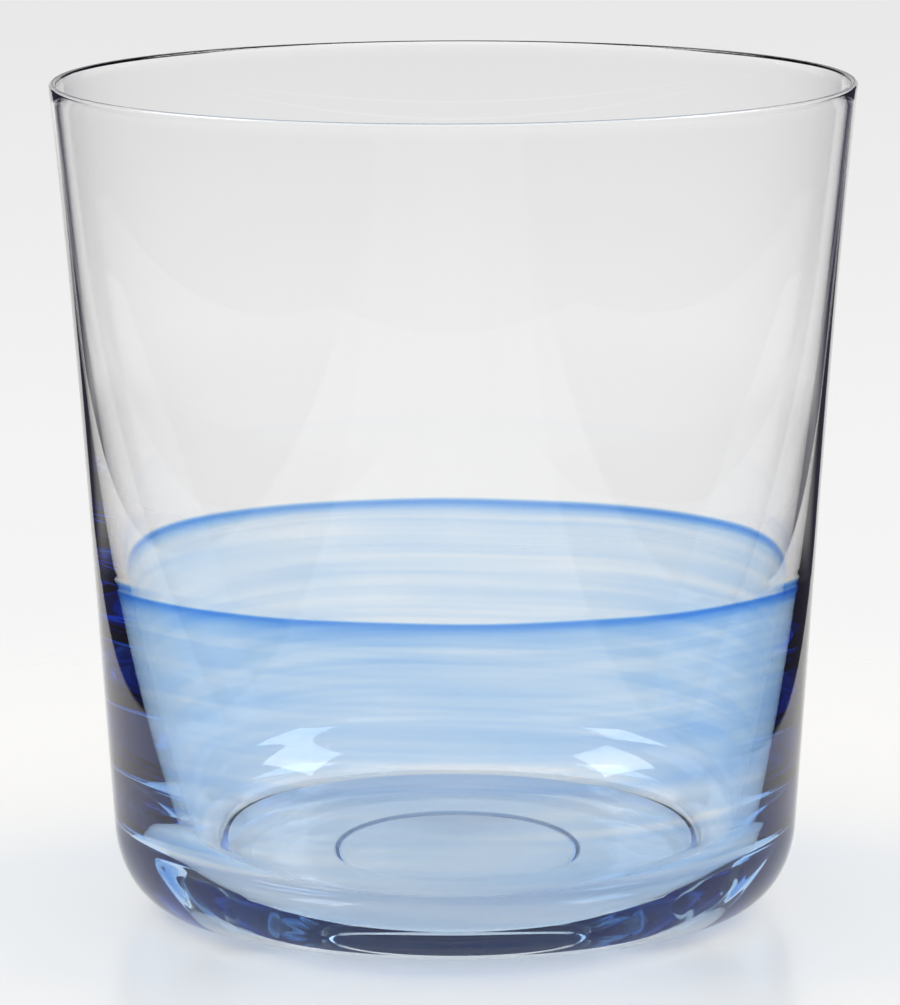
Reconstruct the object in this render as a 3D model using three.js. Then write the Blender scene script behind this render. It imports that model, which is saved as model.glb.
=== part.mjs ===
// Blown glass tumbler: a clear body, a blue layer round its lower part and a thin clear casing, fused in one wall.
// Millimetres, +Z up, origin at the centre of the foot. Every piece is turned about the Z axis.
import * as THREE from 'three';

// Overall size
const HEIGHT = 93.3;
const RIM_RADIUS = 45;
const RIM_WALL = 0.8;
const RIM_LEAN_DEG = 6;

// Outside of the lower part: flat foot ring, the slope beside it, rounded heel and the start of the wall
const FOOT_RADIUS = 26.5;
const FOOT_WIDTH = 2;
const FOOT_SLOPE_DEG = 3.5;
const HEEL_START_RADIUS = 31.5;
const HEEL_RADIUS = 38.5;
const HEEL_HEIGHT = 9.3;
const HEEL_LEAN_DEG = 4.1;

// Underside: a shallow hollow and, at its centre, the ground and polished pontil mark with a sloping edge
const HOLLOW_RADIUS = 19;
const HOLLOW_RISE = 0.1;
const PONTIL_RADIUS = 14.3;
const PONTIL_EDGE_WIDTH = 0.6;
const PONTIL_EDGE_RISE = 0.12;
const PONTIL_DEPTH = 0.12;

// Inside: flat floor, rounded corner and the wall above it, which thins toward the rim
const FLOOR_HEIGHT = 4.1;
const FLOOR_RADIUS = 26.5;
const CORNER_HEIGHT = 9.8;
const CORNER_WALL = 6.5;
const CORNER_LEAN_DEG = 13;
const INSIDE_RIM_LEAN_DEG = 6.2;

// Layers: the casing over the wall and under the floor, the blue layer behind it, and the gap that keeps solids apart
const CASING_WALL = 0.4;
const CASING_FLOOR = 1.1;
const BLUE_WALL = 0.3;
const BLUE_FOOT_HEIGHT = 2;
const BLUE_TOP_HEIGHT = 38;
const SEAM = 0.05;

// Steps of the turned faces
const SEGMENTS = 60;
const WALL_STEPS = 6;
const CORNER_STEPS = 7;
const LIP_STEPS = 3;
const DISH_STEPS = 3;
const QUARTER_HANDLE = 0.5523;

const LIP_RADIUS = RIM_WALL / 2;
const LIP_HEIGHT = HEIGHT - LIP_RADIUS;
const INSIDE_RIM_RADIUS = RIM_RADIUS - RIM_WALL;
const DISH_EDGE_HEIGHT = HOLLOW_RISE + PONTIL_EDGE_RISE;
const DISH_TOP_HEIGHT = DISH_EDGE_HEIGHT + PONTIL_DEPTH;
const HEEL_START_HEIGHT = leanRun(FOOT_SLOPE_DEG, HEEL_START_RADIUS - FOOT_RADIUS);

const point = (radius, height) => new THREE.Vector2(radius, height);

// Run outward over a rise, for a wall that leans out from the upright by an angle, or rise over a run for a slope
function leanRun(leanDeg, rise) {
  return rise * Math.tan(THREE.MathUtils.degToRad(leanDeg));
}

// A wall that leans out by one angle at its foot and by another at its top; its height grows evenly along the curve
function flaredWall(low, lowLeanDeg, high, highLeanDeg) {
  const third = (high.y - low.y) / 3;
  const lowHandle = point(low.x + leanRun(lowLeanDeg, third), low.y + third);
  const highHandle = point(high.x - leanRun(highLeanDeg, third), high.y - third);
  return new THREE.CubicBezierCurve(low, lowHandle, highHandle, high);
}

// A rounded corner that leaves a face of that slope and runs up into a leaning wall
function roundedCorner(level, wall, wallLeanDeg, slopeDeg = 0) {
  const rise = (wall.y - level.y) * QUARTER_HANDLE;
  const run = (wall.x - level.x) * QUARTER_HANDLE;
  const levelHandle = point(level.x + run, level.y + leanRun(slopeDeg, run));
  const wallHandle = point(wall.x - leanRun(wallLeanDeg, rise), wall.y - rise);
  return new THREE.CubicBezierCurve(level, levelHandle, wallHandle, wall);
}

// A heel and the wall above it, that far inside the outside face; the heel starts at that height and slope
function heelAndWall(depth, startHeight, slopeDeg) {
  const start = point(HEEL_START_RADIUS, startHeight);
  const heel = point(HEEL_RADIUS - depth, HEEL_HEIGHT);
  const rim = point(RIM_RADIUS - depth, LIP_HEIGHT);
  const corner = roundedCorner(start, heel, HEEL_LEAN_DEG, slopeDeg);
  const wall = flaredWall(heel, HEEL_LEAN_DEG, rim, RIM_LEAN_DEG);
  return { corner, wall, points: [...corner.getPoints(CORNER_STEPS), ...wall.getPoints(WALL_STEPS).slice(1)] };
}

function outsideHeelAndWall() {
  return heelAndWall(0, HEEL_START_HEIGHT, FOOT_SLOPE_DEG);
}

// The face between two layers, gap millimetres inside the casing's inner face
function layerFace(gap) {
  return heelAndWall(CASING_WALL + gap, DISH_TOP_HEIGHT + CASING_FLOOR + gap, 0).points;
}

// The stretch of a rising face between two heights, with a point at each of them
function between(points, lowHeight, highHeight) {
  const at = (height) => {
    const above = Math.max(1, points.findIndex((p) => p.y > height - 1e-9));
    const [low, high] = [points[above - 1], points[above]];
    return low.clone().lerp(high, (height - low.y) / (high.y - low.y));
  };
  return [at(lowHeight), ...points.filter((p) => p.y > lowHeight && p.y < highHeight), at(highHeight)];
}

// Points of the fire-polished lip between two radii
function lip(fromRadius, toRadius) {
  const centre = RIM_RADIUS - LIP_RADIUS;
  const turn = (radius) => Math.acos(THREE.MathUtils.clamp((radius - centre) / LIP_RADIUS, -1, 1));
  const [from, to] = [turn(fromRadius), turn(toRadius)];
  return new THREE.EllipseCurve(centre, LIP_HEIGHT, LIP_RADIUS, LIP_RADIUS, from, to, to < from).getPoints(LIP_STEPS);
}

// Inside face, from the middle of the floor up to the foot of the lip
function insideFace() {
  const outsideWall = outsideHeelAndWall().wall;
  const outside = outsideWall.getPoint((CORNER_HEIGHT - HEEL_HEIGHT) / (LIP_HEIGHT - HEEL_HEIGHT));
  const cornerTop = point(outside.x - CORNER_WALL, CORNER_HEIGHT);
  const rim = point(INSIDE_RIM_RADIUS, LIP_HEIGHT);
  const corner = roundedCorner(point(FLOOR_RADIUS, FLOOR_HEIGHT), cornerTop, CORNER_LEAN_DEG);
  const wall = flaredWall(cornerTop, CORNER_LEAN_DEG, rim, INSIDE_RIM_LEAN_DEG);
  return [point(0, FLOOR_HEIGHT), ...corner.getPoints(CORNER_STEPS), ...wall.getPoints(WALL_STEPS).slice(1)];
}

// Outside face, from the middle of the underside to the foot of the lip
function outsideFace() {
  const dishTop = point(0, DISH_TOP_HEIGHT);
  const dishEdge = point(PONTIL_RADIUS - PONTIL_EDGE_WIDTH, DISH_EDGE_HEIGHT);
  const dish = new THREE.QuadraticBezierCurve(dishTop, point(dishEdge.x / 2, dishTop.y), dishEdge);
  const hollow = [point(PONTIL_RADIUS, HOLLOW_RISE), point(HOLLOW_RADIUS, HOLLOW_RISE)];
  const foot = [point(FOOT_RADIUS - FOOT_WIDTH, 0), point(FOOT_RADIUS, 0)];
  return [...dish.getPoints(DISH_STEPS), ...hollow, ...foot, ...outsideHeelAndWall().points];
}

// Turns a closed outline of radius and height about the Z axis
function turned(name, outline, material) {
  const geometry = new THREE.LatheGeometry(outline, SEGMENTS);
  geometry.rotateX(Math.PI / 2);
  const mesh = new THREE.Mesh(geometry, material);
  mesh.name = name;
  return mesh;
}

function clearGlass() {
  return new THREE.MeshStandardMaterial({
    color: 0xeef2f5, roughness: 0.02, metalness: 0, transparent: true, opacity: 0.3,
  });
}

// Clear body: inside wall and floor up to the inner half of the lip, with a seat for the blue layer round its outside
function clearBody() {
  const face = layerFace(SEAM);
  const seat = between(layerFace(2 * SEAM + BLUE_WALL), BLUE_FOOT_HEIGHT - SEAM, BLUE_TOP_HEIGHT + SEAM);
  const under = between(face, face[0].y, BLUE_FOOT_HEIGHT - SEAM);
  const above = between(face, BLUE_TOP_HEIGHT + SEAM, LIP_HEIGHT);
  const lipPoints = lip(RIM_RADIUS - CASING_WALL - SEAM, INSIDE_RIM_RADIUS);
  const outer = [point(0, face[0].y), ...under, ...seat, ...above.slice(0, -1)];
  return turned('clear_body', [...outer, ...lipPoints, ...insideFace().reverse().slice(1)], clearGlass());
}

// Blue layer: a thin band between body and casing, from the heel to its top edge
function blueLayer() {
  const outer = between(layerFace(SEAM), BLUE_FOOT_HEIGHT, BLUE_TOP_HEIGHT);
  const inner = between(layerFace(SEAM + BLUE_WALL), BLUE_FOOT_HEIGHT, BLUE_TOP_HEIGHT).reverse();
  const material = new THREE.MeshStandardMaterial({
    color: 0x5f9be0, roughness: 0.05, metalness: 0, transparent: true, opacity: 0.5,
  });
  return turned('blue_layer', [...outer, ...inner, outer[0]], material);
}

// Clear casing: outside wall, heel and foot with its pontil mark, up to the outer half of the lip
function clearCasing() {
  const inner = layerFace(0);
  const lipPoints = lip(RIM_RADIUS, RIM_RADIUS - CASING_WALL);
  const outline = [...outsideFace(), ...lipPoints.slice(1), ...inner.reverse(), point(0, inner.at(-1).y)];
  return turned('clear_casing', outline, clearGlass());
}

const tumbler = new THREE.Group();
tumbler.add(clearBody());
tumbler.add(blueLayer());
tumbler.add(clearCasing());

export default tumbler;
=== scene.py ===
"""Tumbler of clear glass with a blue layer in its lower wall, on a pale floor in soft light."""
import math

import bpy
import numpy as np
from mathutils import Matrix, Vector, noise


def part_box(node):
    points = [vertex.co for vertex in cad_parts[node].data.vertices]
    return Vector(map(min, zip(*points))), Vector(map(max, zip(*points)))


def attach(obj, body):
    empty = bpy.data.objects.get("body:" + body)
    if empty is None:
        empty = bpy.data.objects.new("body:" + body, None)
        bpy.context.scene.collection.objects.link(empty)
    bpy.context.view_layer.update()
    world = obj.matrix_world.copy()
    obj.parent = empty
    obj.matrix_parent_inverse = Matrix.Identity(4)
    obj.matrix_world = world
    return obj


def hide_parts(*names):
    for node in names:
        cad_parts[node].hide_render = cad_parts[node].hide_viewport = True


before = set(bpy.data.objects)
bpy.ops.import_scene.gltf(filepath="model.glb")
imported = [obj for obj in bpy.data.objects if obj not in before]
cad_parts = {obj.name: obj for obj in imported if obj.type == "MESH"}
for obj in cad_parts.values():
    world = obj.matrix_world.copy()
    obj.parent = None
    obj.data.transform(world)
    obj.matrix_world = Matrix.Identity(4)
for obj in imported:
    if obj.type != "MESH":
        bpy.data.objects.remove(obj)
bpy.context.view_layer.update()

MM = 0.001

# Overall size, from the frame, in millimetres
casing_low, casing_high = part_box("clear_casing")
HEIGHT = casing_high[2] / MM
RIM_RADIUS = (casing_high[0] - casing_low[0]) / 2 / MM

# Sizes in millimetres, most of them the same as in the solids
RIM_WALL = 0.8
RIM_LEAN = math.radians(6)
FOOT_RADIUS = 26.5
FOOT_WIDTH = 2
FOOT_SLOPE = math.radians(3.5)
FOOT_SOFTNESS = 0.5
HEEL_START_RADIUS = 31.5
HEEL_RADIUS = 38.5
HEEL_HEIGHT = 9.3
HEEL_LEAN = math.radians(4.1)
HOLLOW_RADIUS = 19
HOLLOW_RISE = 0.1
PONTIL_RADIUS = 14.3
PONTIL_EDGE_WIDTH = 0.85
PONTIL_EDGE_RISE = 0.38
PONTIL_DEPTH = 0.12
FLOOR_HEIGHT = 4.1
CASING_WALL = 0.4
CASING_FLOOR = 0.9
BLUE_FOOT_HEIGHT = 2.4
BLUE_TOP_HEIGHT = 38.25
QUARTER_HANDLE = 0.5523

# The fused layers lie this far apart here, so that no light shows between them
SEAM = 0.002

# Blue layer: its wall, its rolled top edge, the lean and the waver of that edge, its thin foot and its colour
BLUE_WALL = 0.13
BLUE_EDGE = 1.1
BLUE_EDGE_RISE = 0.35
BLUE_EDGE_REACH = 0.85
BLUE_EDGE_FALL = 1.3
BLUE_EDGE_TILT = 1.05
BLUE_EDGE_WAVER = 0.15
BLUE_EDGE_WAVES = 2.5
BLUE_FADE = (2.4, 2.7)
BLUE_THINNEST = 0.003
BLUE_ABSORBS = (0.0, 0.5, 0.94)
BLUE_DENSITY = 2450

# Streaks in the blue: how deep they are and how they bend; then for broad, fine and cloudy ones their length,
# height and weight, and where their pattern starts
STREAK_DEPTH = 0.65
STREAK_BEND = 0.6
STREAK_BEND_LENGTH = 30
STREAKS = (
    (60, 1.3, 1.0, (0, 0, 0)),
    (45, 0.45, 0.8, (0, 0, 40)),
    (14, 5, 0.5, (9, 0, 0)),
)

# Faint ridge in the outside, over the blue layer's edge
RIDGE_RISE = 0.005
RIDGE_WIDTH = 0.5
RIDGE_REACH = 4

# The blown wall is uneven. At each eighth turn, from the right by the back: height and radius of the floor,
# slope at which its corner starts, height of that corner, wall there, and leans there and at the rim
UNEVEN = (
    (4.4, 27.6, 62, 12.2, 5.5, 12.3, 6.25),
    (4.35, 27.2, 62, 12.3, 5.7, 12.6, 6.25),
    (4.3, 26.6, 62, 12.4, 5.9, 12.9, 6.2),
    (4.35, 27.2, 62, 12.5, 6.0, 13.3, 6.15),
    (4.45, 27.4, 62, 12.6, 6.3, 13.9, 6.1),
    (4.25, 24.3, 22, 11.6, 6.5, 13.8, 6.1),
    (4.1, 23.5, 8, 10.8, 6.5, 13.6, 6.15),
    (4.2, 24.3, 22, 11.6, 5.9, 12.9, 6.2),
)

# Faint rings near the foot and faint waves over the heel, in millimetres: how deep, how far apart and how
# wavering they are, the heights over which they fade out, and those over which both set in
RIPPLE_DEPTH = 0.002
RIPPLE_PITCH = 0.5
RIPPLE_WAVER = 2
RIPPLE_TOP = (0.9, 1.8)
WAVE_DEPTH = 0.003
WAVE_LENGTH = 10
WAVE_HEIGHT = 0.7
WAVE_TOP = (5.6, 8)
RIPPLE_START = (0.1, 0.4)

# Where the patterns of the blue edge's waver, the streaks' bend and the rings' waver lie in the noise
EDGE_PATTERN = 8
BEND_PATTERN = 3
RING_PATTERN = 5

# Clear glass
GLASS_IOR = 1.52

# Steps of the turned faces, the share of the blue layer that has fine steps, the angle of a sharp edge and
# the radius below which a row is a point
SEGMENTS = 256
FLOOR_STEPS = 24
CORNER_STEPS = 48
HEEL_STEPS = 140
WALL_STEPS = 60
LIP_STEPS = 10
DISH_STEPS = 24
PONTIL_EDGE_STEPS = 12
LEVEL_STEPS = 11
HOLLOW_STEPS = 24
FOOT_STEPS = 39
RIDGE_STEPS = 80
UNDER_STEPS = 4
BLUE_STEPS = 150
BLUE_EDGE_STEPS = 50
BLUE_EDGE_SHARE = 0.08
OUTSIDE_STEPS = 200
LAYER_STEPS = 400
SHARP_ANGLE = math.radians(40)
ON_AXIS = 1e-6

# Photograph: frame in pixels, and the camera that fits the outline in it, in millimetres and radians
PHOTO_HEIGHT = 1005
CAMERA_FOCAL = 6853.6
CAMERA_DISTANCE = 760
CAMERA_HEIGHT = 172.3
CAMERA_ASIDE = -0.49
CAMERA_PITCH = 0.1652
CAMERA_ROLL = -0.0029
SENSOR_HEIGHT = 36
CAMERA_CLIP = 10

# Studio, in metres and degrees; directions are parts of a unit vector.
# Floor: pale paper that fades into the backdrop. What the glass mirrors of it ends at the paper's edges, with
# a painted glow far beside them: an emission that only the glass's reflections show, standing in for a lit
# table
FLOOR_DROP = 0.00005
FLOOR_LENGTH = (-0.7, 0.6)
FLOOR_HALF_WIDTH = 0.6
FLOOR_FADE = (0.08, 0.2)
FLOOR_COLOR = (0.93, 0.92, 0.9)
FLOOR_ROUGHNESS = 0.25
FLOOR_SHINE = 0.12
PAPER_EDGES = (-0.116, 0.101)
PAPER_SOFTNESS = 0.002
TABLE_GLOW_LEVEL = 0.6
TABLE_GLOW_FROM = (0.19, 0.24)
TABLE_GLOW_ASIDE = (0.6, 0.06)

# Backdrop as the camera sees it, straight or through the glass: its levels at two heights
BACKDROP = (0.92, 0.78)
BACKDROP_HEIGHTS = (-0.19, -0.05)

# What the glass mirrors: a lit strip behind, a lit ceiling, two softboxes and a dim room. The lit ones fade
# for light that was mirrored many times
STRIP_LEVEL = 0.9
STRIP_SPREAD = (0.33, 0.29)
STRIP_TOP = (0.6, 0.75)
STRIP_SOFTNESS = 0.02
OVERHEAD_LEVEL = 0.7
OVERHEAD = (0.6, 0.85)
SOFTBOX_LEVEL = 7
SOFTBOX_SPAN = (0.3, 0.22)
SOFTBOX_SOFTNESS = 0.01
SOFTBOX_FACING = 0.1
ROOM_LEVEL = 0.07
ROOM_COLOR = (0.85, 0.82, 1.25)
ROOM_BELOW = (0.07, 0.35)
MANY_TURNS = (4, 10)
FEWEST_SHARE = 0.08

# Light on the floor from all round, and on the floor seen through the glass, where it comes more from behind
FILL = 0.71
FILL_IN_GLASS = (0.32, 1.05)
FILL_FROM_BEHIND = (-0.1, 0.6)
FILL_FROM_ABOVE = 0.2

# Lamps, one at each side
LAMP_AZIMUTH = 80
LAMP_ELEVATION = 45
LAMP_DISTANCE = 0.6
LAMP_SIZE = (0.36, 0.32)
LAMP_POWER = 1.0

# How often light may turn on its way through the glass
MOST_BOUNCES = 32
MOST_MIRRORED = 16
MOST_CLEAR = 64

# Worked out from the values above
LIP_RADIUS = RIM_WALL / 2
LIP_HEIGHT = HEIGHT - LIP_RADIUS
INSIDE_RIM_RADIUS = RIM_RADIUS - RIM_WALL
DISH_RADIUS = PONTIL_RADIUS - PONTIL_EDGE_WIDTH
DISH_EDGE_HEIGHT = HOLLOW_RISE + PONTIL_EDGE_RISE
SEAM_FLOOR = DISH_EDGE_HEIGHT + PONTIL_DEPTH + CASING_FLOOR
HEEL_START_HEIGHT = (HEEL_START_RADIUS - FOOT_RADIUS) * math.tan(FOOT_SLOPE)

ANGLES = np.arange(SEGMENTS) * 2 * math.pi / SEGMENTS


# Outlines

def bezier(handles, shares):
    """Points of a cubic curve through four handles, at shares of its length parameter."""
    t = np.asarray(shares, float)[:, None]
    a, b, c, d = (np.asarray(h, float) for h in handles)
    return a * (1 - t) ** 3 + 3 * b * t * (1 - t) ** 2 + 3 * c * t ** 2 * (1 - t) + d * t ** 3


def steps(count):
    """Even shares from 0 to 1."""
    return np.linspace(0, 1, count + 1)


def eased(shares):
    """Shares that start and end slowly."""
    return shares ** 2 * (3 - 2 * shares)


def flared_wall(low, low_lean, high, high_lean):
    """Handles of a wall that leans out by one angle at its foot and another at its top."""
    third = (high[1] - low[1]) / 3
    low_handle = (low[0] + third * math.tan(low_lean), low[1] + third)
    high_handle = (high[0] - third * math.tan(high_lean), high[1] - third)
    return low, low_handle, high_handle, high


def rounded_corner(level, wall, lean, slope=0):
    """Handles of a corner that leaves a face of that slope and runs up into a leaning wall."""
    rise = (wall[1] - level[1]) * QUARTER_HANDLE
    run = (wall[0] - level[0]) * QUARTER_HANDLE
    level_handle = (level[0] + run, level[1] + run * math.tan(slope))
    wall_handle = (wall[0] - rise * math.tan(lean), wall[1] - rise)
    return level, level_handle, wall_handle, wall


def heel_and_wall(depth, start_height, slope):
    """Handles of a heel and of the wall above it, that far inside the outside face."""
    heel = (HEEL_RADIUS - depth, HEEL_HEIGHT)
    corner = rounded_corner((HEEL_START_RADIUS, start_height), heel, HEEL_LEAN, slope)
    return corner, flared_wall(heel, HEEL_LEAN, (RIM_RADIUS - depth, LIP_HEIGHT), RIM_LEAN)


def lip(from_radius, to_radius):
    """Points of the rounded lip between two radii."""
    centre = RIM_RADIUS - LIP_RADIUS
    start, end = (math.acos(max(-1, min(1, (r - centre) / LIP_RADIUS))) for r in (from_radius, to_radius))
    turns = np.linspace(start, end, LIP_STEPS + 1)
    return np.stack([centre + LIP_RADIUS * np.cos(turns), LIP_HEIGHT + LIP_RADIUS * np.sin(turns)], axis=1)


def inside_face(floor_height, floor_radius, corner_slope, corner_height, corner_wall, corner_lean, rim_lean):
    """From the middle of the floor to the foot of the lip."""
    corner_slope, corner_lean, rim_lean = map(math.radians, (corner_slope, corner_lean, rim_lean))
    curves = heel_and_wall(0, HEEL_START_HEIGHT, FOOT_SLOPE)
    outside = np.concatenate([bezier(curve, steps(OUTSIDE_STEPS)) for curve in curves])
    corner_top = (np.interp(corner_height, outside[:, 1], outside[:, 0]) - corner_wall, corner_height)
    shares = steps(FLOOR_STEPS)[:-1]
    floor = np.stack([floor_radius * shares, FLOOR_HEIGHT + (floor_height - FLOOR_HEIGHT) * shares], axis=1)
    corner = rounded_corner((floor_radius, floor_height), corner_top, corner_lean, corner_slope)
    wall = flared_wall(corner_top, corner_lean, (INSIDE_RIM_RADIUS, LIP_HEIGHT), rim_lean)
    return np.concatenate([floor, bezier(corner, steps(CORNER_STEPS)), bezier(wall, steps(WALL_STEPS)[1:])])


def outside_face():
    """From the middle of the underside over the pontil mark, foot ring and heel to the foot of the lip."""
    shares = steps(DISH_STEPS)
    dish = np.stack([DISH_RADIUS * shares, DISH_EDGE_HEIGHT + PONTIL_DEPTH * (1 - shares ** 2)], axis=1)
    shares = steps(PONTIL_EDGE_STEPS)[1:]
    edge = np.stack([DISH_RADIUS + PONTIL_EDGE_WIDTH * shares,
                     DISH_EDGE_HEIGHT - PONTIL_EDGE_RISE * eased(shares)], axis=1)
    reach = np.linspace(PONTIL_RADIUS, HOLLOW_RADIUS, LEVEL_STEPS + 1)[1:]
    level = np.stack([reach, np.full(LEVEL_STEPS, HOLLOW_RISE)], axis=1)
    shares = steps(HOLLOW_STEPS)[1:]
    hollow_width = FOOT_RADIUS - FOOT_WIDTH - HOLLOW_RADIUS
    hollow = np.stack([HOLLOW_RADIUS + hollow_width * shares, HOLLOW_RISE * (1 - eased(shares))], axis=1)
    reach = np.linspace(FOOT_RADIUS - FOOT_WIDTH, HEEL_START_RADIUS, FOOT_STEPS + 1)[1:-1]
    past = reach - FOOT_RADIUS
    rise = (past + np.hypot(past, FOOT_SOFTNESS)) / 2 * math.tan(FOOT_SLOPE)
    foot = np.stack([reach, rise], axis=1)
    corner, wall = heel_and_wall(0, HEEL_START_HEIGHT, FOOT_SLOPE)
    ridge = np.linspace(BLUE_TOP_HEIGHT - RIDGE_REACH, BLUE_TOP_HEIGHT + RIDGE_REACH, RIDGE_STEPS + 1)
    ridge_shares = (ridge - HEEL_HEIGHT) / (LIP_HEIGHT - HEEL_HEIGHT)
    wall_shares = np.unique(np.concatenate([steps(WALL_STEPS)[1:], ridge_shares]))
    heel = bezier(corner, steps(HEEL_STEPS))
    return np.concatenate([dish, edge, level, hollow, foot, heel, bezier(wall, wall_shares)])


layer_corner, layer_wall = heel_and_wall(CASING_WALL, SEAM_FLOOR, 0)
LAYER_FACE = np.concatenate([bezier(layer_corner, steps(LAYER_STEPS)),
                             bezier(layer_wall, steps(LAYER_STEPS)[1:])])


def layer_radius(height):
    """Radius of the face between body and casing at a height."""
    return np.interp(height, LAYER_FACE[:, 1], LAYER_FACE[:, 0])


# Blue layer

def blue_top():
    """Height of the blue layer's top edge at each angle: it leans a little, and wavers."""
    tops = []
    for angle in ANGLES:
        x, y = BLUE_EDGE_WAVES * math.cos(angle), BLUE_EDGE_WAVES * math.sin(angle)
        waver = noise.noise(Vector((x, y, EDGE_PATTERN)))
        tops.append(BLUE_TOP_HEIGHT - BLUE_EDGE_TILT * math.sin(angle) + BLUE_EDGE_WAVER * waver)
    return np.array(tops)


def streaks(height):
    """Thicker and thinner streaks of colour round the wall, about -1 to 1, for a height at each angle."""
    values = []
    for angle, level in zip(ANGLES, height):
        x, y = RIM_RADIUS * math.cos(angle), RIM_RADIUS * math.sin(angle)
        bend = noise.noise(Vector((x / STREAK_BEND_LENGTH, y / STREAK_BEND_LENGTH, BEND_PATTERN)))
        level += STREAK_BEND * bend
        value = 0
        for length, rise, weight, (right, back, up) in STREAKS:
            value += weight * noise.noise(Vector((x / length + right, y / length + back, level / rise + up)))
        values.append(value)
    return np.array(values)


BLUE_TOP = blue_top()


def blue_rows():
    """Outer and inner rows of the blue layer, from its foot on the heel to its top edge."""
    outer, inner = [], []
    wall_share = 1 - BLUE_EDGE_SHARE
    edge_shares = wall_share + BLUE_EDGE_SHARE * steps(BLUE_EDGE_STEPS)
    for share in np.concatenate([steps(BLUE_STEPS)[:-1] * wall_share, edge_shares]):
        height = BLUE_FOOT_HEIGHT + (BLUE_TOP - BLUE_FOOT_HEIGHT) * share
        below = BLUE_TOP - height
        base = BLUE_WALL * np.interp(height, BLUE_FADE, (0, 1))
        edge = BLUE_EDGE * np.exp(-(below / BLUE_EDGE_REACH) ** BLUE_EDGE_FALL)
        rise = 1 - np.exp(-(below / BLUE_EDGE_RISE) ** 2)
        wall = (base * (1 + STREAK_DEPTH * streaks(height - BLUE_TOP)) + edge) * rise
        wall = np.maximum(wall, BLUE_THINNEST)
        radius = layer_radius(height) - SEAM
        outer.append(np.stack([radius, height], axis=1))
        inner.append(np.stack([radius - wall, height], axis=1))
    return outer, inner


# Meshes

def ring_rows(face):
    """Rows of a face that is the same at each angle."""
    return [np.repeat(np.asarray(point, float)[None], SEGMENTS, axis=0) for point in face]


def layer_rows(low, high, count, inset):
    """Rows of the face between body and casing between two heights, given at each angle."""
    rows = []
    for share in steps(count):
        height = low + (high - low) * share
        rows.append(np.stack([layer_radius(height) - inset, height], axis=1))
    return rows


def uneven_rows():
    """Rows of the inside face, which differs round the blown wall."""
    waves = np.fft.rfft([inside_face(*sizes) for sizes in UNEVEN], axis=0)
    # The shortest wave stands for two, which lie apart among more angles
    waves[-1] /= 2
    rows = np.fft.irfft(waves, SEGMENTS, axis=0) * SEGMENTS / len(UNEVEN)
    return list(rows.transpose(1, 0, 2))


def rippled(row):
    """Adds the faint rings and waves to a row of the outside face."""
    radius, height = row[0]
    if radius <= FOOT_RADIUS or height > WAVE_TOP[1]:
        return row
    along = radius - height
    rings = RIPPLE_DEPTH * np.interp(height, RIPPLE_START + RIPPLE_TOP, (0, 1, 1, 0))
    waves = WAVE_DEPTH * np.interp(height, RIPPLE_START + WAVE_TOP, (0, 1, 1, 0))
    shift = []
    for angle in ANGLES:
        x, y = radius * math.cos(angle) / WAVE_LENGTH, radius * math.sin(angle) / WAVE_LENGTH
        waver = noise.noise(Vector((x / 2, y / 2, RING_PATTERN)))
        ring = math.sin(2 * math.pi * along / RIPPLE_PITCH + RIPPLE_WAVER * waver) - 1
        shift.append(rings * ring + waves * noise.noise(Vector((x, y, along / WAVE_HEIGHT))))
    return row + np.stack([shift, np.zeros(SEGMENTS)], axis=1)


def turned(name, rows, materials, slots):
    """Turns rows of radius and height about the Z axis; each row holds a pair for each angle."""
    points, rings, faces, face_slots = [], [], [], []
    for row in rows:
        start = len(points)
        if np.max(row[:, 0]) < ON_AXIS:
            points.append((0, 0, float(np.mean(row[:, 1])) * MM))
            rings.append([start] * SEGMENTS)
            continue
        ring = np.stack([row[:, 0] * np.cos(ANGLES), row[:, 0] * np.sin(ANGLES), row[:, 1]], axis=1) * MM
        points.extend(ring.tolist())
        rings.append(list(range(start, start + SEGMENTS)))
    for low, high, slot in zip(rings, rings[1:], slots):
        for here in range(SEGMENTS):
            there = (here + 1) % SEGMENTS
            faces.append(list(dict.fromkeys([low[here], low[there], high[there], high[here]])))
            face_slots.append(slot)
    mesh = bpy.data.meshes.new(name)
    mesh.from_pydata(points, [], faces)
    for material in materials:
        mesh.materials.append(material)
    mesh.polygons.foreach_set("material_index", face_slots)
    mesh.polygons.foreach_set("use_smooth", [True] * len(faces))
    mesh.set_sharp_from_angle(angle=SHARP_ANGLE)
    piece = bpy.data.objects.new(name, mesh)
    bpy.context.collection.objects.link(piece)
    return piece


# Materials

def node_tree(material):
    """The material's empty node tree and its output."""
    material.use_nodes = True
    tree = material.node_tree
    tree.nodes.clear()
    return tree, tree.nodes.new("ShaderNodeOutputMaterial")


def lamps_pass(tree, shader):
    """Mixes in clear for the rays to lamps, so that glass doesn't throw a solid shadow."""
    path = tree.nodes.new("ShaderNodeLightPath")
    clear = tree.nodes.new("ShaderNodeBsdfTransparent")
    mix = tree.nodes.new("ShaderNodeMixShader")
    tree.links.new(path.outputs["Is Shadow Ray"], mix.inputs[0])
    tree.links.new(shader, mix.inputs[1])
    tree.links.new(clear.outputs[0], mix.inputs[2])
    return mix.outputs[0]


def glass_material(name):
    """Blown clear glass."""
    material = bpy.data.materials.new(name)
    tree, output = node_tree(material)
    glass = tree.nodes.new("ShaderNodeBsdfPrincipled")
    glass.inputs["Base Color"].default_value = (1, 1, 1, 1)
    glass.inputs["Roughness"].default_value = 0
    glass.inputs["IOR"].default_value = GLASS_IOR
    glass.inputs["Transmission Weight"].default_value = 1
    tree.links.new(lamps_pass(tree, glass.outputs[0]), output.inputs["Surface"])
    return material


def seam_material():
    """Faces where two layers are fused: nothing shows there."""
    material = bpy.data.materials.new("fused_seam")
    tree, output = node_tree(material)
    clear = tree.nodes.new("ShaderNodeBsdfTransparent")
    tree.links.new(clear.outputs[0], output.inputs["Surface"])
    return material


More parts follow.
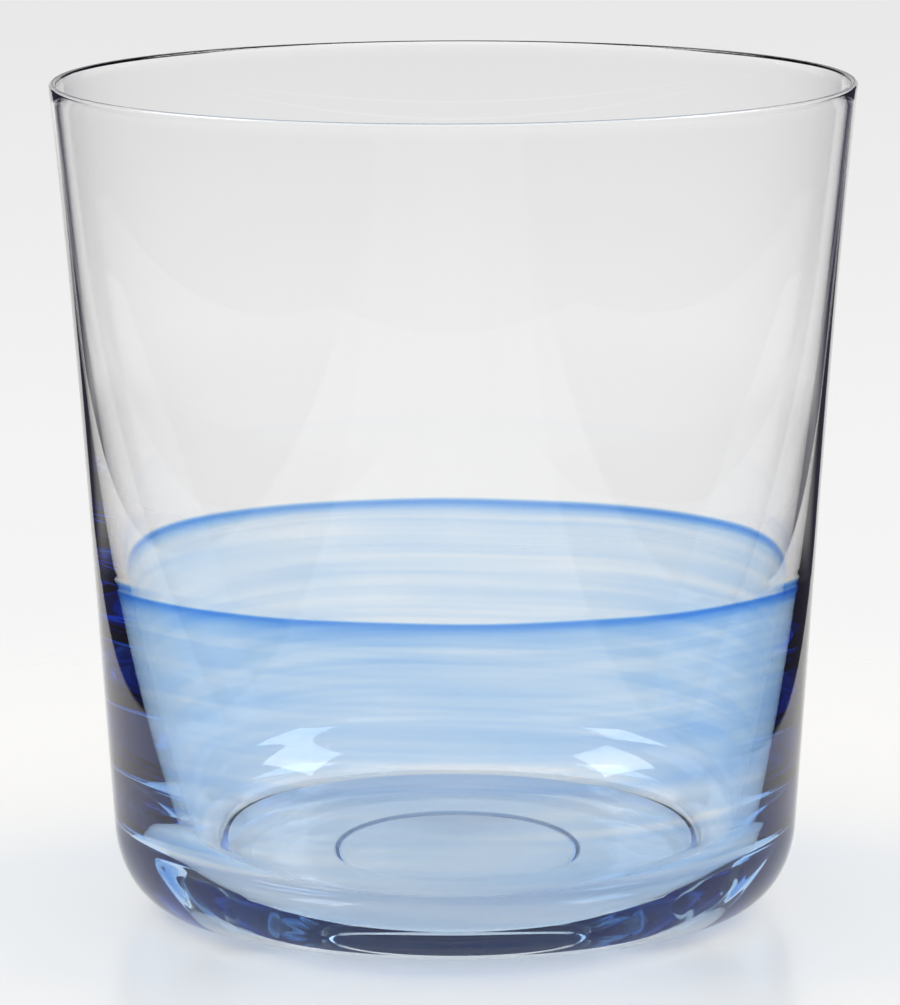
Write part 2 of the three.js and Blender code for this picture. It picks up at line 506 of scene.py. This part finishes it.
def blue_material():
    """Blue glass that darkens with its thickness."""
    material = bpy.data.materials.new("blue_glass")
    tree, output = node_tree(material)
    clear = tree.nodes.new("ShaderNodeBsdfTransparent")
    absorb = tree.nodes.new("ShaderNodeVolumeAbsorption")
    absorb.inputs["Color"].default_value = (*BLUE_ABSORBS, 1)
    absorb.inputs["Density"].default_value = BLUE_DENSITY
    tree.links.new(clear.outputs[0], output.inputs["Surface"])
    tree.links.new(absorb.outputs[0], output.inputs["Volume"])
    return material


# Pieces

clear_glass = glass_material("clear_glass")
fused_seam = seam_material()
blue_glass = blue_material()
GLASS, FUSED = 0, 1

blue_outer, blue_inner = blue_rows()
LEVEL = np.ones(SEGMENTS)


def add_body():
    """Body: fused faces outside, glass inside, and the inner half of the lip."""
    floor = ring_rows([(0, SEAM_FLOOR + SEAM), (HEEL_START_RADIUS, SEAM_FLOOR + SEAM)])
    under = layer_rows((SEAM_FLOOR + 2 * SEAM) * LEVEL, BLUE_FOOT_HEIGHT * LEVEL, UNDER_STEPS, SEAM)
    seat = [row - [SEAM, 0] for row in blue_inner]
    above = layer_rows(BLUE_TOP + SEAM, LIP_HEIGHT * LEVEL, WALL_STEPS, SEAM)
    fused = floor + under + seat + above
    glass = ring_rows(lip(RIM_RADIUS - CASING_WALL - SEAM, INSIDE_RIM_RADIUS)[1:])
    glass += uneven_rows()[::-1][1:]
    slots = [FUSED] * (len(fused) - 1) + [GLASS] * len(glass)
    return turned("body", fused + glass, [clear_glass, fused_seam], slots)


def add_blue():
    """Blue layer: one closed thin band."""
    rows = blue_outer + blue_inner[::-1] + blue_outer[:1]
    return turned("blue_band", rows, [blue_glass], [0] * len(rows))


def add_casing():
    """Casing: glass outside with a faint ridge over the blue layer's edge, and fused faces inside."""
    glass = []
    for row in map(rippled, ring_rows(outside_face())):
        ridge = RIDGE_RISE * np.exp(-((row[:, 1] - BLUE_TOP) / RIDGE_WIDTH) ** 2)
        glass.append(np.stack([row[:, 0] + ridge, row[:, 1]], axis=1))
    glass += ring_rows(lip(RIM_RADIUS, RIM_RADIUS - CASING_WALL)[1:])
    wall = layer_rows(LIP_HEIGHT * LEVEL, (SEAM_FLOOR + SEAM) * LEVEL, 3 * WALL_STEPS, 0)
    fused = wall + ring_rows([(HEEL_START_RADIUS, SEAM_FLOOR), (0, SEAM_FLOOR)])
    slots = [GLASS] * (len(glass) - 1) + [FUSED] * len(fused)
    return turned("casing", glass + fused, [clear_glass, fused_seam], slots)


PIECES = {"clear_body": (add_body, "clear_glass"), "blue_layer": (add_blue, "blue_glass"),
          "clear_casing": (add_casing, "clear_glass")}
for node, (add_piece, slot) in PIECES.items():
    piece = add_piece()
    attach(piece, "root")
    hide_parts(node)


# Camera

def add_camera():
    """Camera at the photograph's place and angle."""
    data = bpy.data.cameras.new("camera")
    data.sensor_fit = "VERTICAL"
    data.sensor_height = SENSOR_HEIGHT
    data.lens = CAMERA_FOCAL * SENSOR_HEIGHT / PHOTO_HEIGHT
    data.clip_start = CAMERA_CLIP * MM
    camera = bpy.data.objects.new("camera", data)
    place = Matrix.Translation(Vector((CAMERA_ASIDE, -CAMERA_DISTANCE, CAMERA_HEIGHT)) * MM)
    tilt = Matrix.Rotation(math.pi / 2 - CAMERA_PITCH, 4, "X")
    camera.matrix_world = place @ tilt @ Matrix.Rotation(CAMERA_ROLL, 4, "Z")
    bpy.context.collection.objects.link(camera)
    bpy.context.scene.camera = camera


# Floor, world and lamps

def math_node(tree, operation, *values):
    """Result of an operation on numbers or sockets."""
    node = tree.nodes.new("ShaderNodeMath")
    node.operation = operation
    for socket, value in zip(node.inputs, values):
        if isinstance(value, (int, float)):
            socket.default_value = value
        else:
            tree.links.new(value, socket)
    return node.outputs[0]


def smooth(tree, value, edges, results=(0, 1)):
    """A number that goes smoothly from one result to the other between two edges."""
    node = tree.nodes.new("ShaderNodeMapRange")
    node.interpolation_type = "SMOOTHSTEP"
    tree.links.new(value, node.inputs["Value"])
    node.inputs["From Min"].default_value, node.inputs["From Max"].default_value = edges
    node.inputs["To Min"].default_value, node.inputs["To Max"].default_value = results
    return node.outputs["Result"]


def blend(tree, share, first, second):
    """A number that goes from the first to the second as the share goes from 0 to 1."""
    rest = math_node(tree, "SUBTRACT", 1, share)
    parts = [math_node(tree, "MULTIPLY", rest, first), math_node(tree, "MULTIPLY", share, second)]
    return math_node(tree, "ADD", *parts)


def once_or_more(tree, path, depth):
    """1 for light whose named depth, the count of such turns on its way, is 1 or more."""
    return math_node(tree, "GREATER_THAN", path.outputs[depth], 0.5)


def add_floor():
    """Pale paper under the tumbler, with a painted glow of a table beside it that only mirrored light sees.
    """
    mesh = bpy.data.meshes.new("floor")
    low, high = FLOOR_LENGTH
    wide = FLOOR_HALF_WIDTH
    mesh.from_pydata([(-wide, low, 0), (wide, low, 0), (wide, high, 0), (-wide, high, 0)], [], [(0, 1, 2, 3)])
    floor = bpy.data.objects.new("floor", mesh)
    floor.location.z = -FLOOR_DROP
    bpy.context.collection.objects.link(floor)
    material = bpy.data.materials.new("floor")
    tree, output = node_tree(material)
    paper = tree.nodes.new("ShaderNodeBsdfPrincipled")
    paper.inputs["Base Color"].default_value = (*FLOOR_COLOR, 1)
    paper.inputs["Roughness"].default_value = FLOOR_ROUGHNESS
    paper.inputs["Specular IOR Level"].default_value = FLOOR_SHINE
    clear = tree.nodes.new("ShaderNodeBsdfTransparent")
    mix = tree.nodes.new("ShaderNodeMixShader")
    place = tree.nodes.new("ShaderNodeTexCoord")
    parts = tree.nodes.new("ShaderNodeSeparateXYZ")
    length = tree.nodes.new("ShaderNodeVectorMath")
    length.operation = "LENGTH"
    path = tree.nodes.new("ShaderNodeLightPath")
    tree.links.new(place.outputs["Object"], length.inputs[0])
    tree.links.new(place.outputs["Object"], parts.inputs[0])
    soft_edges = [(edge - PAPER_SOFTNESS, edge + PAPER_SOFTNESS) for edge in PAPER_EDGES]
    left = smooth(tree, parts.outputs["X"], soft_edges[0], (1, 0))
    right = smooth(tree, parts.outputs["X"], soft_edges[1])
    beside = math_node(tree, "MAXIMUM", left, right)
    mirrored = once_or_more(tree, path, "Glossy Depth")
    fade = blend(tree, mirrored, smooth(tree, length.outputs["Value"], FLOOR_FADE), beside)
    tree.links.new(fade, mix.inputs[0])
    tree.links.new(paper.outputs[0], mix.inputs[1])
    tree.links.new(clear.outputs[0], mix.inputs[2])
    # Painted reflection: a glowing table beside the paper, an emission that only mirrored light sees
    slant = math_node(tree, "MULTIPLY", parts.outputs["Y"], TABLE_GLOW_ASIDE[0])
    aside = math_node(tree, "SUBTRACT", math_node(tree, "ABSOLUTE", parts.outputs["X"]), slant)
    table_glow_share = math_node(tree, "MULTIPLY", smooth(tree, length.outputs["Value"], TABLE_GLOW_FROM),
                    smooth(tree, aside, (0, TABLE_GLOW_ASIDE[1])))
    table_glow_share = math_node(tree, "MULTIPLY", math_node(tree, "MULTIPLY", table_glow_share, beside), mirrored)
    table_glow = tree.nodes.new("ShaderNodeEmission")
    table_glow.inputs["Strength"].default_value = TABLE_GLOW_LEVEL
    shown = tree.nodes.new("ShaderNodeMixShader")
    tree.links.new(table_glow_share, shown.inputs[0])
    tree.links.new(mix.outputs[0], shown.inputs[1])
    tree.links.new(table_glow.outputs[0], shown.inputs[2])
    tree.links.new(shown.outputs[0], output.inputs["Surface"])
    mesh.materials.append(material)


def softbox(tree, parts):
    """1 in the directions of the two softboxes, which stand alike on both sides."""
    turn, rise = math.radians(LAMP_AZIMUTH), math.radians(LAMP_ELEVATION)
    outward = Vector((math.sin(turn) * math.cos(rise), math.cos(turn) * math.cos(rise), math.sin(rise)))
    across = Vector((math.cos(turn), -math.sin(turn), 0))
    folded = tree.nodes.new("ShaderNodeCombineXYZ")
    tree.links.new(math_node(tree, "ABSOLUTE", parts.outputs["X"]), folded.inputs["X"])
    tree.links.new(parts.outputs["Y"], folded.inputs["Y"])
    tree.links.new(parts.outputs["Z"], folded.inputs["Z"])
    reach = []
    for axis in (outward, across, outward.cross(across)):
        dot = tree.nodes.new("ShaderNodeVectorMath")
        dot.operation = "DOT_PRODUCT"
        tree.links.new(folded.outputs[0], dot.inputs[0])
        dot.inputs[1].default_value = axis
        reach.append(dot.outputs["Value"])
    share = math_node(tree, "GREATER_THAN", reach[0], SOFTBOX_FACING)
    for value, span in zip(reach[1:], SOFTBOX_SPAN):
        slant = math_node(tree, "ABSOLUTE", math_node(tree, "DIVIDE", value, reach[0]))
        edges = (span - SOFTBOX_SOFTNESS, span + SOFTBOX_SOFTNESS)
        share = math_node(tree, "MULTIPLY", share, smooth(tree, slant, edges, (1, 0)))
    return share


def add_world():
    """Backdrop, what the glass mirrors, and light from all round."""
    world = bpy.data.worlds.new("studio")
    bpy.context.scene.world = world
    world.use_nodes = True
    tree = world.node_tree
    tree.nodes.clear()
    place = tree.nodes.new("ShaderNodeTexCoord")
    parts = tree.nodes.new("ShaderNodeSeparateXYZ")
    path = tree.nodes.new("ShaderNodeLightPath")
    tree.links.new(place.outputs["Generated"], parts.inputs[0])
    aside, ahead, height = (parts.outputs[axis] for axis in "XYZ")
    left = math_node(tree, "ADD", math_node(tree, "MULTIPLY", ahead, STRIP_SPREAD[0]), aside)
    right = math_node(tree, "SUBTRACT", math_node(tree, "MULTIPLY", ahead, STRIP_SPREAD[1]), aside)
    strip = smooth(tree, math_node(tree, "MINIMUM", left, right), (-STRIP_SOFTNESS, STRIP_SOFTNESS))
    strip = math_node(tree, "MULTIPLY", strip, smooth(tree, height, STRIP_TOP, (1, 0)))
    lit = blend(tree, strip, smooth(tree, height, OVERHEAD, (0, OVERHEAD_LEVEL)), STRIP_LEVEL)
    lit = math_node(tree, "ADD", lit, math_node(tree, "MULTIPLY", softbox(tree, parts), SOFTBOX_LEVEL))
    turns = smooth(tree, path.outputs["Glossy Depth"], MANY_TURNS, (1, FEWEST_SHARE))
    room = math_node(tree, "MAXIMUM", math_node(tree, "MULTIPLY", lit, turns), ROOM_LEVEL)
    backdrop = smooth(tree, height, BACKDROP_HEIGHTS, BACKDROP)
    seen = blend(tree, once_or_more(tree, path, "Glossy Depth"), backdrop, room)
    lights = once_or_more(tree, path, "Diffuse Depth")
    in_glass = once_or_more(tree, path, "Transmission Depth")
    behind = smooth(tree, ahead, FILL_FROM_BEHIND, FILL_IN_GLASS)
    behind = math_node(tree, "ADD", behind, smooth(tree, height, OVERHEAD, (0, FILL_FROM_ABOVE)))
    level = blend(tree, lights, seen, blend(tree, in_glass, FILL, behind))
    background = tree.nodes.new("ShaderNodeBackground")
    tint = tree.nodes.new("ShaderNodeMix")
    tint.data_type = "RGBA"
    # This node's colours go by the number of their socket
    tint.inputs[6].default_value = (*ROOM_COLOR, 1)
    tint.inputs[7].default_value = (1, 1, 1, 1)
    tree.links.new(smooth(tree, level, ROOM_BELOW), tint.inputs["Factor"])
    tree.links.new(tint.outputs[2], background.inputs["Color"])
    output = tree.nodes.new("ShaderNodeOutputWorld")
    tree.links.new(level, background.inputs["Strength"])
    tree.links.new(background.outputs[0], output.inputs["Surface"])


def add_lamp(name, azimuth):
    """A softbox that lights the floor; what the glass mirrors of it is in the world."""
    data = bpy.data.lights.new(name, "AREA")
    data.shape = "RECTANGLE"
    data.size, data.size_y = LAMP_SIZE
    data.energy = LAMP_POWER
    lamp = bpy.data.objects.new(name, data)
    turn, rise = math.radians(azimuth), math.radians(LAMP_ELEVATION)
    aim = Vector((math.sin(turn) * math.cos(rise), math.cos(turn) * math.cos(rise), math.sin(rise)))
    lamp.location = aim * LAMP_DISTANCE
    lamp.rotation_euler = aim.to_track_quat("Z", "Y").to_euler()
    lamp.visible_glossy = lamp.visible_transmission = False
    bpy.context.collection.objects.link(lamp)


add_camera()
add_floor()
add_world()
add_lamp("softbox_left", -LAMP_AZIMUTH)
add_lamp("softbox_right", LAMP_AZIMUTH)

scene = bpy.context.scene
scene.view_settings.view_transform = "Standard"
scene.cycles.max_bounces = MOST_BOUNCES
scene.cycles.transmission_bounces = MOST_BOUNCES
scene.cycles.glossy_bounces = MOST_MIRRORED
scene.cycles.transparent_max_bounces = MOST_CLEAR
